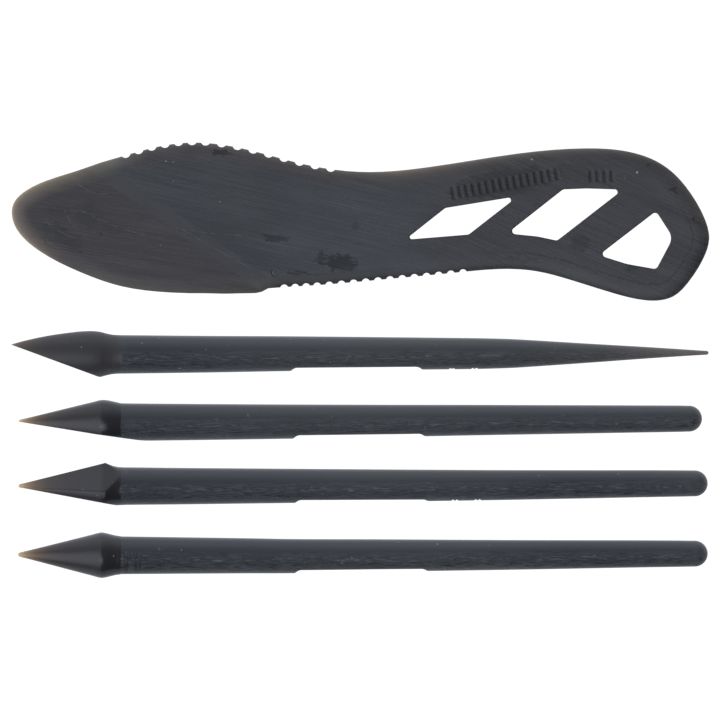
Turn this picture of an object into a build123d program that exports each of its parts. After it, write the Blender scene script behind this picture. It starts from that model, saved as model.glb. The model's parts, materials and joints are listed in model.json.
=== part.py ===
from build123d import *
import os

# Five loose, one-piece moulded clay shapers laid side by side on a surface, in millimetres.
# X runs along the tools from the working tips to the butts, and Z is up. Every tool is made from
# its tip near X = 0 along its own axis, and is then set down in its place in the row.

# ---------------------------------------------------------------- serrated paddle
PADDLE_PLACE = Vector(-92.0, 38.9)
THICKNESS = 4.0
MID = THICKNESS / 2
BEVEL_WIDTH = 3.5
HANDLE_RIM = 1.5               # rim left at mid height by the bevel round the handle
BLADE_RIM = 0.6                # thinner, springy rim round the nose and belly of the blade
BIG = 60.0                     # reach of the cutting blocks, well past the paddle

# Smooth outline of the blank, clockwise from the nose over the upper edge and back below.
OUTLINE = [
    (0, 0), (1.0, 3.35), (3.4, 5.6), (8.7, 8.3), (17.9, 11.3), (23.2, 13.15), (28.5, 14.7),
    (35.9, 16.8), (47.0, 18.5), (57.0, 17.7), (65.2, 15.9), (73.4, 13.7), (81.6, 11.9),
    (94.5, 10.75), (107.7, 11.75), (134.1, 15.7), (151.3, 17.0), (164.5, 15.7), (172.4, 12.2),
    (179.0, 5.3), (182.4, -0.6), (184.0, -6.9), (182.4, -12.2), (178.5, -18.35),
    (174.6, -22.05), (169.6, -23.22), (164.0, -22.6), (154.2, -19.85), (147.3, -17.7),
    (138.1, -15.4), (130.1, -14.85), (117.3, -15.8), (98.2, -17.6), (79.3, -19.2),
    (67.8, -19.95), (56.2, -21.05), (41.7, -21.05), (28.5, -19.3), (17.9, -15.6),
    (7.3, -10.1), (2.1, -5.5),
]
# The thin heel that ends the belly, where the edge steps in to the lower serrations.
HEEL = [
    (67.8, -19.9), (66.0, -20.85), (64.4, -21.2), (56.2, -21.38), (46.0, -21.15), (46.0, -19.0),
    (67.8, -19.0),
]

# Round-bottomed notches. Each run starts at a distance from the nose, along the outline.
NOTCH_DEPTH = 0.7
UPPER_FIRST = 35.4
UPPER_PITCHES = [3.55] * 6 + [4.22] * 8
UPPER_RADIUS = 1.3
LOWER_FIRST = 278.2
LOWER_PITCHES = [3.22] * 12 + [2.9] * 3
LOWER_RADIUS = 1.06

# Both faces of the blade fall away towards the belly side of the nose in two flat facets. Each
# profile point is (distance from the first facet's line, depth below the face).
FACET_START = (29.9, 9.2)
FACET_HEADING = -35.0
FACET_PROFILE = [(0, 0), (3.7, 0.16), (BIG, 3.6)]
# The rim is the thin one on the nose side of this line.
RIM_CHANGE = [(27.6, 20.0), (68.2, -24.0)]

# Lightening openings: each corner, then the radius it is rounded to.
OPENINGS = [
    [((103.8, -7.12), 0.55), ((114.4, 1.25), 1.5), ((133.5, 4.35), 0.66), ((120.5, -5.76), 1.2)],
    [((130.7, -5.45), 0.85), ((145.45, 6.15), 1.5), ((151.7, 6.4), 12.0), ((161.2, 6.1), 0.75),
     ((143.85, -7.35), 1.0), ((138.6, -6.25), 8.0)],
    [((154.9, -11.2), 0.9), ((169.98, 0.4), 1.0), ((174.47, -6.55), 3.5), ((170.06, -14.9), 1.2),
     ((162.2, -13.5), 12.0)],
]
PIN_MARK_PLACE = (69.4, -15.85)
PIN_MARK_RADIUS = 0.9
PIN_MARK_DEPTH = 0.1


def bevelled_blank(face, rim):
    """Whole blank, bevelled from both faces to a rim at mid height."""
    plate = extrude(face, THICKNESS)
    drop = (THICKNESS - rim) / 2
    for end in (-1, 0):
        flat = plate.faces().sort_by(Axis.Z)[end]
        plate = chamfer(flat.outer_wire().edges(), BEVEL_WIDTH, drop, reference=flat)
    return plate


def notches(edge, first, pitches, radius):
    """Cylinders for a run of notches, centred a little outside the edge."""
    at = first
    cutters = []
    for pitch in [0] + pitches:
        at += pitch
        outward = edge.tangent_at(at, position_mode=PositionMode.LENGTH).rotate(Axis.Z, 90)
        centre = edge.position_at(at, position_mode=PositionMode.LENGTH)
        centre += outward * (radius - NOTCH_DEPTH)
        cutters.append(Pos(centre.X, centre.Y, MID) * Cylinder(radius, 2 * THICKNESS))
    return cutters


def opening(corners):
    """Through cutter with each corner rounded to its own radius."""
    shape = make_face(Polyline(*[place for place, radius in corners], close=True))
    for place, radius in corners:
        shape = fillet(shape.vertices().sort_by_distance(Vector(*place))[0], radius)
    return extrude(shape, 2 * THICKNESS, both=True)


def facet_cutter():
    """Prism that thins the upper face of the blade; X is away from the facets' line."""
    outer = [(BIG, THICKNESS), (0, THICKNESS)]
    profile = [(away, -depth) for away, depth in FACET_PROFILE] + outer
    prism = extrude(Plane.XZ * make_face(Polyline(*profile, close=True)), BIG, both=True)
    turned = Rot(0, 0, FACET_HEADING - 90) * prism
    return Pos(*FACET_START, THICKNESS) * turned


def serrated_paddle():
    edge = Spline(*OUTLINE, periodic=True)
    face = make_face(edge)
    nose_side = extrude(make_face(Polyline(
        *RIM_CHANGE, (-BIG, -BIG), (-BIG, BIG), close=True)), BIG, both=True)
    body = (bevelled_blank(face, HANDLE_RIM) - nose_side) + (
        bevelled_blank(face, BLADE_RIM) & nose_side)
    heel = extrude(make_face(Polyline(*HEEL, close=True)), BLADE_RIM)
    body += Pos(0, 0, MID - BLADE_RIM / 2) * heel
    cutter = facet_cutter()
    body -= cutter
    body -= cutter.mirror(Plane.XY.offset(MID))
    body -= notches(edge, UPPER_FIRST, UPPER_PITCHES, UPPER_RADIUS)
    body -= notches(edge, LOWER_FIRST, LOWER_PITCHES, LOWER_RADIUS)
    body -= [opening(corners) for corners in OPENINGS]
    mark = Cylinder(PIN_MARK_RADIUS, 2 * PIN_MARK_DEPTH)
    body -= Pos(*PIN_MARK_PLACE, THICKNESS) * mark
    return body


# ---------------------------------------------------------------- the four round pens
# All sizes below are along the pen's axis first and then the radius, or the height beside it.
SHAFT_START = (29.3, 4.98)
SHAFT_END = (179.0, 3.46)
BUTT_RADIUS = 3.43
FLAT_RAMP = 1.4                # length and height of the ramp at each end of the finger flat
WIDE = 10.0                    # reach of the pens' cutting blocks


def shaft_radius(x):
    taper = (SHAFT_END[1] - SHAFT_START[1]) / (SHAFT_END[0] - SHAFT_START[0])
    return SHAFT_START[1] + taper * (x - SHAFT_START[0])


def revolved(curves):
    """Pen body from its half profile, which runs from the axis at the tip to the butt."""
    edges = [edge for curve in curves for edge in curve.edges()]
    return revolve(make_face([*edges, Line(curves[-1] @ 1, curves[0] @ 0)]), Axis.X)


def side_cutter(points, towards=0.0):
    """Block beyond a profile, on the side that is turned from -Y towards +Z by an angle."""
    profile = points + [(points[-1][0], -2 * WIDE), (points[0][0], -2 * WIDE)]
    block = extrude(make_face(Polyline(*profile, close=True)), WIDE, both=True)
    return Rot(-towards, 0, 0) * block


def finger_flat(start, end, level_start, level_end):
    """Shallow flat along the -Y side of a shaft, with a short ramp at each end."""
    return side_cutter([
        (start - FLAT_RAMP, -level_start - FLAT_RAMP), (start, -level_start),
        (end, -level_end), (end + FLAT_RAMP, -level_end - FLAT_RAMP),
    ])


def plain_shaft(neck_end, butt):
    """Half profile of the tapered shaft, from the neck to a domed butt."""
    dome_start = (butt - BUTT_RADIUS, BUTT_RADIUS)
    dome = CenterArc((butt - BUTT_RADIUS, 0), BUTT_RADIUS, 90, -90)
    return [Line(neck_end, dome_start), dome]


PLAIN_FLAT = (75.9, 109.3, 3.76, 3.65)
CONE_NECK = (29.3, 4.98)


def cone_pen():
    """Full round cone over a softly rounded crest."""
    body = revolved([
        Polyline((1.8, 0), (1.8, 0.35), (2.1, 0.52), (22.4, 5.74)),
        Spline((22.4, 5.74), (24.1, 6.0), (25.7, 5.72), (27.4, 5.18), CONE_NECK,
               tangents=[(1, 0.2575), (1, -0.01)]),
        *plain_shaft(CONE_NECK, 183.6),
    ])
    return body - finger_flat(*PLAIN_FLAT)


CHISEL_CUT = [(-1, 0.79), (22.4, -3.27), (45, -6.36)]


def chisel_pen():
    """Cone with a turned-down collar, ground flat on one side in two planes."""
    neck_end = (29.2, 4.98)
    body = revolved([
        Polyline((1.9, 0), (1.9, 0.72), (24.4, 5.93), neck_end),
        *plain_shaft(neck_end, 182.1),
    ])
    return body - side_cutter(CHISEL_CUT) - finger_flat(*PLAIN_FLAT)


PYRAMID_SIDE_CUT = [(-1, 0.36), (27.15, -5.0), (40, -7.45)]
PYRAMID_FACET = [(-1, 0.04), (24.3, -3.79), (28.1, -5.15), (31, -7)]
PYRAMID_FACET_TURN = 128.0     # from -Y, so the two facets meet in a ridge along +Y


def pyramid_pen():
    """Cone with two large facets that meet in a ridge, and a third cut opposite the ridge."""
    neck_end = (30.0, 4.97)
    body = revolved([
        Polyline((1.9, 0), (1.9, 0.66), (24.65, 6.22)),
        Spline((24.65, 6.22), (27.1, 5.3), neck_end, tangents=[(1, -0.48), (1, -0.01)]),
        *plain_shaft(neck_end, 183.6),
    ])
    for turn in (PYRAMID_FACET_TURN, -PYRAMID_FACET_TURN):
        body -= side_cutter(PYRAMID_FACET, turn)
    return body - side_cutter(PYRAMID_SIDE_CUT) - finger_flat(*PLAIN_FLAT)


LEAF_CUT = [(-1, 2.98), (23.1, -5.98), (26, -7.1)]


def leaf_needle_pen():
    """Leaf-shaped blade, ground flat on one side, with a long needle at the other end."""
    crest, neck_end = (21.0, 6.18), (28.5, 5.1)
    waist, needle = (121.0, 4.11), (138.0, 3.47)
    body = revolved([
        Line((0, 0), (0, 2.66)),
        Spline((0, 2.66), (4.8, 3.95), (10.1, 5.02), (15.4, 5.77), crest,
               tangents=[(1, 0.31), (1, 0)]),
        Spline(crest, (23.0, 6.03), (25.2, 5.5), neck_end, tangents=[(1, 0), (1, -0.011)]),
        Line(neck_end, waist),
        Spline(waist, (130.0, 3.9), needle, tangents=[(1, -0.011), (1, -0.067)]),
        Polyline(needle, (183.4, 0.44), (183.85, 0.2), (183.85, 0)),
    ])
    return body - side_cutter(LEAF_CUT) - finger_flat(74.2, 107.5, 3.73, 3.62)


# Each pen: how it is made, where its axis starts in the row, its slant in plan, and its droop.
# A pen lies on its crest and on the far end of its shaft, so its axis droops towards the butt.
PENS = {
    "leaf_needle_pen": (leaf_needle_pen, 1.52, 0.16, 1.17),
    "chisel_pen": (chisel_pen, -16.56, 0.37, 0.94),
    "pyramid_pen": (pyramid_pen, -33.42, 0.26, 0.95),
    "cone_pen": (cone_pen, -51.54, 0.1, 0.94),
}


def set_down(body, across, slant, droop):
    """A pen laid on the surface in its place in the row."""
    laid = Rot(0, 0, slant) * Rot(0, droop, 0) * body
    return Pos(PADDLE_PLACE.X, across, -laid.bounding_box().min.Z) * laid


tools = {"serrated_paddle": Pos(PADDLE_PLACE) * serrated_paddle()}
for name, (make, across, slant, droop) in PENS.items():
    tools[name] = set_down(make(), across, slant, droop)

# The origin is under the middle of the whole row.
boxes = [body.bounding_box() for body in tools.values()]
middle_x = (min(box.min.X for box in boxes) + max(box.max.X for box in boxes)) / 2
middle_y = (min(box.min.Y for box in boxes) + max(box.max.Y for box in boxes)) / 2
os.makedirs("parts", exist_ok=True)
for name, body in tools.items():
    export_step(Pos(-middle_x, -middle_y, 0) * body, f"parts/{name}.step")
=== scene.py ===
"""Looks of the five clay tools: each CAD node is replaced by a finer mesh of the same size."""

import math

import bmesh
import bpy
import numpy as np
from mathutils import Matrix, Vector
from mathutils.geometry import delaunay_2d_cdt
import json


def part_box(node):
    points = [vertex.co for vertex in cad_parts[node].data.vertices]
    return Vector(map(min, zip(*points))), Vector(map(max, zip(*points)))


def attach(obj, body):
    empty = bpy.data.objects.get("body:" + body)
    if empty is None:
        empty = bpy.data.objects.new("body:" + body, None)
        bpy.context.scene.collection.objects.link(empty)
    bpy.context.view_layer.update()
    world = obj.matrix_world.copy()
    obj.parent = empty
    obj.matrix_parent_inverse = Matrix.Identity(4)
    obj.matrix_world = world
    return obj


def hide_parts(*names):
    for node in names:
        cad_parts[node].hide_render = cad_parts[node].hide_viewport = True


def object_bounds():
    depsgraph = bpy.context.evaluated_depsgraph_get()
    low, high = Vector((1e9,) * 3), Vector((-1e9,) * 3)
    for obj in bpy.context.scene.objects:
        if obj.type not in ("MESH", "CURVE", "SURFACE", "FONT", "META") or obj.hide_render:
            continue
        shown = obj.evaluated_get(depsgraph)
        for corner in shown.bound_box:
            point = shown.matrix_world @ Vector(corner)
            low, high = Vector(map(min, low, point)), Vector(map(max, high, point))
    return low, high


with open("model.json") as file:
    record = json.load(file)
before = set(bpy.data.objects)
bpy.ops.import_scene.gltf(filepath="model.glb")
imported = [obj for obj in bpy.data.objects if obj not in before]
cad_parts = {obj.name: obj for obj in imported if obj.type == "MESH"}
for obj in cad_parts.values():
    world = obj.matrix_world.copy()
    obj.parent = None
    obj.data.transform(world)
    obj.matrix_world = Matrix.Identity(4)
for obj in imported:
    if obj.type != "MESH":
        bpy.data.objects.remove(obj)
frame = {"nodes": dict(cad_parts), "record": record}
cad_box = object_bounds()

MM = 0.001
SHARP_ANGLE = 35.0  # degrees between faces from which an edge is drawn sharp

# ---- small helpers
def ease(t):
    """Eased rise from 0 to 1 as t goes from 0 to 1."""
    t = np.clip(t, 0.0, 1.0)
    return t * t * (3 - 2 * t)


def smooth_min(a, b, k):
    """Lower of the two, with the corner between them rounded over about k."""
    h = np.clip(k - np.abs(a - b), 0.0, None) / k
    return np.minimum(a, b) - h * h * k / 4


def curve_through(points, at):
    """Monotone cubic through (x, y) points, read at the given x values."""
    x, y = np.array(points, float).T
    h = np.diff(x)
    d = np.diff(y) / h
    m = np.zeros(len(x))
    same = d[:-1] * d[1:] > 0
    w1, w2 = 2 * h[1:] + h[:-1], h[1:] + 2 * h[:-1]
    m[1:-1][same] = ((w1 + w2)[same]) / (w1[same] / d[:-1][same] + w2[same] / d[1:][same])
    m[0], m[-1] = d[0], d[-1]
    i = np.clip(np.searchsorted(x, at) - 1, 0, len(h) - 1)
    t = (at - x[i]) / h[i]
    return (
        (1 + 2 * t) * (1 - t) ** 2 * y[i]
        + t * (1 - t) ** 2 * h[i] * m[i]
        + t * t * (3 - 2 * t) * y[i + 1]
        + t * t * (t - 1) * h[i] * m[i + 1]
    )


def make_piece(name, verts, faces, node, material, attributes):
    """Mesh object in the row frame that stands for a CAD node and rides on its body."""
    mesh = bpy.data.meshes.new(name)
    mesh.from_pydata(verts.tolist(), [], faces)
    for key, values in attributes.items():
        layer = mesh.attributes.new(key, "FLOAT", "POINT")
        layer.data.foreach_set("value", np.asarray(values, np.float32))
    mesh.polygons.foreach_set("use_smooth", [True] * len(mesh.polygons))
    mesh.set_sharp_from_angle(angle=math.radians(SHARP_ANGLE))
    mesh.materials.append(material)
    mesh.validate()
    piece = bpy.data.objects.new(name, mesh)
    bpy.context.scene.collection.objects.link(piece)
    body = next(b for b, nodes in frame["record"]["behaviour"]["bodies"].items() if node in nodes)
    # The tools were lit one by one, so they don't show in each other's gloss.
    piece.visible_glossy = False
    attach(piece, body)
    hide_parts(node)
    return piece


# ---- paddle outline
WELD = 1e-7  # distance within which two corners are one
SPACING = 0.27  # millimetres between points along the paddle's borders
FINE_STEP = 0.04  # spacing at which a smooth border is first worked out
SHORTEST_EDGE = 0.03
# A notch is a short run between two corners that is clearly longer than the way straight across.
LONGEST_NOTCH, NOTCH_BULGE = 4.5, 1.12
OUTER_CORNER, HOLE_CORNER = 45, 60  # degrees of turn that count as a corner
BATCH = 2000  # points whose distances are worked out at a time
# A ring keeps only the points that lie this share of its depth from the border, or more.
LEAST_CLEAR = 0.93


def section_loops(node, height):
    """Closed outlines, in millimetres, of a CAD node cut at a height."""
    bm = bmesh.new()
    bm.from_mesh(frame["nodes"][node].data)
    bmesh.ops.remove_doubles(bm, verts=bm.verts, dist=WELD)
    geometry = bm.verts[:] + bm.edges[:] + bm.faces[:]
    bmesh.ops.bisect_plane(
        bm, geom=geometry, plane_co=(0, 0, height), plane_no=(0, 0, 1),
        clear_inner=True, clear_outer=True,
    )
    left = set(bm.verts)
    loops = []
    while left:
        # The same first corner each time, so that every run gives the same mesh.
        start = min(left, key=lambda v: v.co[:])
        left.discard(start)
        loop, here, before = [start], start, None
        while True:
            onward = [e.other_vert(here) for e in here.link_edges]
            onward = [v for v in onward if v is not before and (v in left or v is start)]
            if not onward or onward[0] is start:
                break
            before, here = here, onward[0]
            left.discard(here)
            loop.append(here)
        loops.append(np.array([v.co.xy[:] for v in loop]) / MM)
    bm.free()
    return sorted(loops, key=lambda loop: -np.ptp(loop[:, 0]))


def turning(points):
    """Signed turn at each point of a closed loop, in degrees."""
    before = points - np.roll(points, 1, 0)
    after = np.roll(points, -1, 0) - points
    cross = before[:, 0] * after[:, 1] - before[:, 1] * after[:, 0]
    return np.degrees(np.arctan2(cross, (before * after).sum(1)))


def area(points):
    """Area inside a closed loop, positive when it runs anticlockwise."""
    x, y = points.T
    return 0.5 * np.sum(x * np.roll(y, -1) - y * np.roll(x, -1))


def without_short_edges(points, least):
    """Closed loop without the points that lie too close to the one before."""
    kept = [points[0]]
    for p in points[1:]:
        if np.hypot(*(p - kept[-1])) > least:
            kept.append(p)
    if np.hypot(*(kept[0] - kept[-1])) <= least:
        kept.pop()
    return np.array(kept)


def resampled_run(points, before, after, spacing):
    """Catmull-Rom through an open run of points, at an even spacing, without its last point."""
    padded = np.vstack([before, points, after])
    dense = []
    for i in range(1, len(padded) - 2):
        p0, p1, p2, p3 = padded[i - 1:i + 3]
        length = np.hypot(*(p2 - p1))
        m1 = (p2 - p0) / (np.hypot(*(p1 - p0)) + length) * length
        m2 = (p3 - p1) / (np.hypot(*(p3 - p2)) + length) * length
        steps = max(2, int(length / FINE_STEP))
        for t in np.arange(steps) / steps:
            dense.append(
                (2 * t**3 - 3 * t**2 + 1) * p1 + (t**3 - 2 * t**2 + t) * m1
                + (3 * t**2 - 2 * t**3) * p2 + (t**3 - t**2) * m2
            )
    dense.append(points[-1])
    dense = np.array(dense)
    along = np.concatenate([[0], np.cumsum(np.hypot(*np.diff(dense, axis=0).T))])
    count = max(2, int(round(along[-1] / spacing)))
    wanted = np.linspace(0, along[-1], count + 1)[:-1]
    return np.column_stack([np.interp(wanted, along, dense[:, k]) for k in (0, 1)])


def smooth_loop(points, corner):
    """Loop resampled between its corners, and the same loop with its notches bridged."""
    if area(points) < 0:
        points = np.roll(points[::-1], 1, 0)
    points = without_short_edges(points, SHORTEST_EDGE)
    corners = np.flatnonzero(np.abs(turning(points)) > corner)
    if len(corners) < 2:
        closed = np.vstack([points, points[:1]])
        run = resampled_run(closed, points[-1], points[1], SPACING)
        return run, run
    points = np.roll(points, -corners[0], 0)
    ends = list(corners - corners[0]) + [len(points)]
    runs, bridged = [], []
    for start, end in zip(ends[:-1], ends[1:]):
        run = np.vstack([points, points[:1]])[start:end + 1]
        before = 2 * run[0] - run[1]
        after = 2 * run[-1] - run[-2]
        fine = resampled_run(run, before, after, SPACING)
        runs.append(fine)
        length = np.hypot(*np.diff(run, axis=0).T).sum()
        chord = np.hypot(*(run[-1] - run[0]))
        if NOTCH_BULGE * chord < length < LONGEST_NOTCH:
            share = np.linspace(0, 1, len(fine) + 1)[:-1, None]
            bridged.append(run[0] + share * (run[-1] - run[0]))
        else:
            bridged.append(fine)
    return np.vstack(runs), np.vstack(bridged)


def inside(points, loop):
    """Which points lie inside a closed loop."""
    x, y = points.T
    hit = np.zeros(len(points), bool)
    for (x1, y1), (x2, y2) in zip(loop, np.roll(loop, -1, 0)):
        if y1 == y2:
            continue
        crosses = (y1 > y) != (y2 > y)
        hit ^= crosses & (x < (x2 - x1) * (y - y1) / (y2 - y1) + x1)
    return hit


def nearest(points, loop):
    """Offset from each point to the nearest place on a closed loop."""
    along = np.roll(loop, -1, 0) - loop
    size = (along**2).sum(1)
    best = np.empty((len(points), 2))
    for first in range(0, len(points), BATCH):
        p = points[first:first + BATCH, None, :]
        t = np.clip(((p - loop) * along).sum(2) / size, 0, 1)
        gap = loop + t[..., None] * along - p
        choice = (gap**2).sum(2).argmin(1)
        best[first:first + BATCH] = gap[np.arange(len(gap)), choice]
    return best


def distance(points, loop):
    """Distance of each point from a closed loop."""
    return np.hypot(*nearest(points, loop).T)


def ring(loop, depth, every=1):
    """Points set in from a loop, towards its left, without those that come too near it."""
    along = np.roll(loop, -1, 0) - np.roll(loop, 1, 0)
    along /= np.hypot(*along.T)[:, None]
    points = (loop + depth * np.column_stack([-along[:, 1], along[:, 0]]))[::every]
    return points[distance(points, loop) > LEAST_CLEAR * depth]


# ---- paddle shape
PADDLE = "serrated_paddle"
HALF = 2.0  # half of the body's thickness, in millimetres like all below
# Half thickness left at the border, and how wide the border's slope is.
HANDLE_EDGE, HANDLE_WIDTH = 0.55, 4.2
BLADE_EDGE, BLADE_WIDTH = 0.2, 3.1
BLADE_EASE = 0.25  # rounding where the blade's slope meets its flat
# Half thickness lost at each distance past the line where the nose begins.
FACETS = [(0.0, 0.0), (3.7, 0.16), (60.0, 3.6)]
FACET_LINE = (29.9, 9.2), (70.9, -19.5)
# The blade's flat slope turns into the handle's round one across this line.
BLADE_LINE = (68.2, -24.0), (27.6, 20.0)
BLADE_BLEND = 3.0
HOLE_FILLET = 0.3
NOSE_BELOW_TOP = 18.51

low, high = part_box(PADDLE)
# The paddle's own millimetres start at the point of its nose.
NOSE = np.array([low.x / MM, high.y / MM - NOSE_BELOW_TOP])
loops = section_loops(PADDLE, HALF * MM)
outer, blank = smooth_loop(loops[0], OUTER_CORNER)
holes = [smooth_loop(loop, HOLE_CORNER)[0][::-1] for loop in loops[1:]]


def line_side(points, first, second):
    """Signed distance from a line in the paddle's own plane, positive on its left."""
    first, second = np.array(first) + NOSE, np.array(second) + NOSE
    along = (second - first) / np.hypot(*(second - first))
    return (points - first) @ np.array([-along[1], along[0]])


# Plain rows of slots stand where the handle carries a maker's lettering: the middle of each in the
# paddle's own millimetres, half its length, half its width, and its heading in degrees.
STRIPS = [((130.2, 7.6), 14.8, 1.6, 10.5), ((155.6, 9.6), 3.7, 1.5, 1.0)]
SLOT_DEPTH, SLOT_PITCH, SLOT_HALF_WIDTH, SLOT_WALL, SLOT_END = 0.18, 1.85, 0.48, 0.34, 0.4
# Round mark that an ejector pin of the mould left.
PIN_MARK, PIN_RADIUS, PIN_DEPTH, PIN_WALL = (69.4, -15.85), 0.9, 0.1, 0.3


def strip_places(points, strip):
    """Places along and across a row of slots."""
    middle, half_length, half_width, heading = strip
    way = np.array([math.cos(math.radians(heading)), math.sin(math.radians(heading))])
    away = points - (np.array(middle) + NOSE)
    return away @ way, away @ np.array([-way[1], way[0]])


def relief(points):
    """Depth below the plain upper face, and how far each point lies in a slot."""
    slots = np.zeros(len(points))
    for strip in STRIPS:
        u, v = strip_places(points, strip)
        place = (u + strip[1]) / SLOT_PITCH - 0.5
        off = abs(place - np.round(place)) * SLOT_PITCH
        slot = ease((SLOT_HALF_WIDTH - off) / SLOT_WALL + 0.5)
        slot *= ease((strip[2] - abs(v)) / SLOT_END + 0.5)
        slots += slot * (abs(u) < strip[1])
    away = np.hypot(*(points - (np.array(PIN_MARK) + NOSE)).T)
    depth = SLOT_DEPTH * slots + PIN_DEPTH * ease((PIN_RADIUS - away) / PIN_WALL + 0.5)
    return depth, slots


PIN_AREA = (PIN_MARK, 1.3, 1.3, 0.0)
FINE_ALONG, FINE_ACROSS = 0.19, 0.25  # spacing of the points over the relief
FINE_MARGIN, CLEAR_MARGIN = 0.5, 0.9  # how far those reach, and how far all others keep away


def fine_points():
    """Close grids of points over the relief, and which places they cover."""
    grids, areas = [], []
    for middle, half_length, half_width, heading in STRIPS + [PIN_AREA]:
        u, v = np.meshgrid(
            np.arange(-half_length - FINE_MARGIN, half_length + FINE_MARGIN, FINE_ALONG),
            np.arange(-half_width - FINE_MARGIN, half_width + FINE_MARGIN, FINE_ACROSS),
        )
        turn = math.radians(heading)
        across = np.array([-math.sin(turn), math.cos(turn)])
        way = np.array([math.cos(turn), math.sin(turn)])
        grid = np.array(middle) + NOSE + u.reshape(-1, 1) * way + v.reshape(-1, 1) * across
        grids.append(grid)
        areas.append((middle, half_length + CLEAR_MARGIN, half_width + CLEAR_MARGIN, heading))
    return grids, areas


def paddle_half(points):
    """Half thickness of the paddle at each point, and the distances that its looks follow."""
    edge = distance(points, blank)
    hole = np.min([distance(points, loop) for loop in holes], axis=0)
    past = -line_side(points, *FACET_LINE)
    body = HALF - np.interp(past, *zip(*FACETS))
    blade = ease(0.5 + line_side(points, *BLADE_LINE) / BLADE_BLEND)
    round_share = np.clip(edge / HANDLE_WIDTH, 0, 1)
    flat_share = smooth_min(edge / BLADE_WIDTH, np.ones(len(edge)), BLADE_EASE)
    rounded = HANDLE_EDGE + (body - HANDLE_EDGE) * np.sqrt(1 - (1 - round_share) ** 2)
    flat = BLADE_EDGE + (body - BLADE_EDGE) * np.clip(flat_share, 0, 1)
    half = rounded + (flat - rounded) * blade
    near = 1 - np.clip(hole / HOLE_FILLET, 0, 1)
    half = np.minimum(half, HALF - HOLE_FILLET * (1 - np.sqrt(1 - near**2)))
    return half, edge, hole, past


def covered(points, strip):
    """Which points lie in the place that a strip takes up."""
    u, v = strip_places(points, strip)
    return (abs(u) < strip[1]) & (abs(v) < strip[2])


# Distances from the border within which a point counts as on it, and as near it.
ON_BORDER, NEAR_BORDER = 0.08, 0.9
# Strength of the painted brown glow along the top border, at places along the paddle.
TOP_GLOW = [(20, 0), (40, 0.3), (92, 0.3), (102, 0.9), (128, 0.6), (155, 0.4), (168, 0.25)]


def border_glow(points, edge):
    """Painted light that shows through the thin edges: brown at the nose and the top, neutral
    below.
    """
    outward = nearest(points, blank)
    outward /= np.maximum(np.hypot(*outward.T), 1e-6)[:, None]
    # On the border itself there is no direction to it, so take the one a little way in.
    away = distance(points, blank)
    within = np.flatnonzero((away > ON_BORDER) & (away < NEAR_BORDER))
    for index in np.flatnonzero(away <= ON_BORDER):
        gap = points[within] - points[index]
        outward[index] = outward[within[(gap**2).sum(1).argmin()]]
    x = points[:, 0] - NOSE[0]
    upper = ease((outward[:, 1] + 0.1) / 0.5)
    lower = ease((-outward[:, 1] - 0.2) / 0.5)
    above = 0.32 + 0.68 * ease((23 - x) / 23)
    below = 0.08 + 0.92 * ease((17 - x) / 17)
    nose = (below + (above - below) * upper) * ease((38 - x) / 14)
    wide, thin = np.clip(1 - edge / 4.5, 0, 1) ** 1.25, np.exp(-edge / 0.38)
    strength = np.interp(x, *zip(*TOP_GLOW))
    thin_glow = nose * (0.4 * wide + 0.66 * thin) + 0.36 * strength * upper * np.exp(-edge / 1.15)
    belly = ease((x - 10) / 14) * ease((71 - x) / 4)
    pale_glow = 0.3 * lower * belly * np.clip(1 - edge / 3.7, 0, 1)
    brow = ease((x - 1) / 8) * ease((31 - x) / 6)
    pale_glow += 0.34 * upper * brow * np.clip(1 - edge / 4.6, 0, 1)
    return np.clip(thin_glow, 0, 1), pale_glow


# Distances from the borders at which rings of points follow them in.
OUTER_RINGS = (0.1, 0.25, 0.5, 0.85, 1.3, 1.9, 2.6, 3.2, 3.9, 4.6)
HOLE_RINGS = (0.06, 0.14, 0.24, 0.36, 0.7)
HALVED_FROM = 1.0  # rings this deep or more keep every second point
GRID_STEP, GRID_ROW = 0.95, 0.87
GRID_FROM_EDGE, GRID_FROM_HOLE = 4.9, 1.1
FINE_FROM_EDGE, FINE_FROM_HOLE = 0.4, 0.3


def paddle_points():
    """All points of the paddle's plan: its borders first, then rings, fine places and a grid."""
    points = [outer] + holes
    for depth in OUTER_RINGS:
        points.append(ring(outer, depth, 1 if depth < HALVED_FROM else 2))
    for loop in holes:
        points += [ring(loop, depth) for depth in HOLE_RINGS]
    grid_x, grid_y = np.meshgrid(
        np.arange(low.x / MM, high.x / MM, GRID_STEP),
        np.arange(low.y / MM, high.y / MM, GRID_STEP * GRID_ROW),
    )
    grid_x[::2] += GRID_STEP / 2
    grid = np.column_stack([grid_x.ravel(), grid_y.ravel()])
    grid = grid[inside(grid, outer)]
    for loop in holes:
        grid = grid[~inside(grid, loop)]
        grid = grid[distance(grid, loop) > GRID_FROM_HOLE]
    grid = grid[distance(grid, outer) > GRID_FROM_EDGE]
    close, areas = fine_points()
    borders = len(holes) + 1
    for area_of in areas:
        points = points[:borders] + [near[~covered(near, area_of)] for near in points[borders:]]
        grid = grid[~covered(grid, area_of)]
    close = [near[distance(near, outer) > FINE_FROM_EDGE] for near in close]
    for loop in holes:
        close = [near[distance(near, loop) > FINE_FROM_HOLE] for near in close]
    return np.vstack(points + close + [grid])


def on_plate(points):
    """Which points lie inside the outline and in none of the windows."""
    solid = inside(points, outer)
    for loop in holes:
        solid &= ~inside(points, loop)
    return solid


def paddle_plan():
    """The paddle seen from above, as points and triangles."""
    flat = paddle_points()
    edges, start = [], 0
    for loop in [outer] + holes:
        n = len(loop)
        edges += [(start + i, start + (i + 1) % n) for i in range(n)]
        start += n
    keep = np.ones(len(flat), bool)
    keep[start:] = on_plate(flat[start:])
    out = delaunay_2d_cdt([Vector(p) for p in flat[keep]], edges, [], 0, WELD)
    points, faces = np.array([v[:] for v in out[0]]), np.array(out[2])
    return points, faces[on_plate(points[faces].mean(1))]


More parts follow.
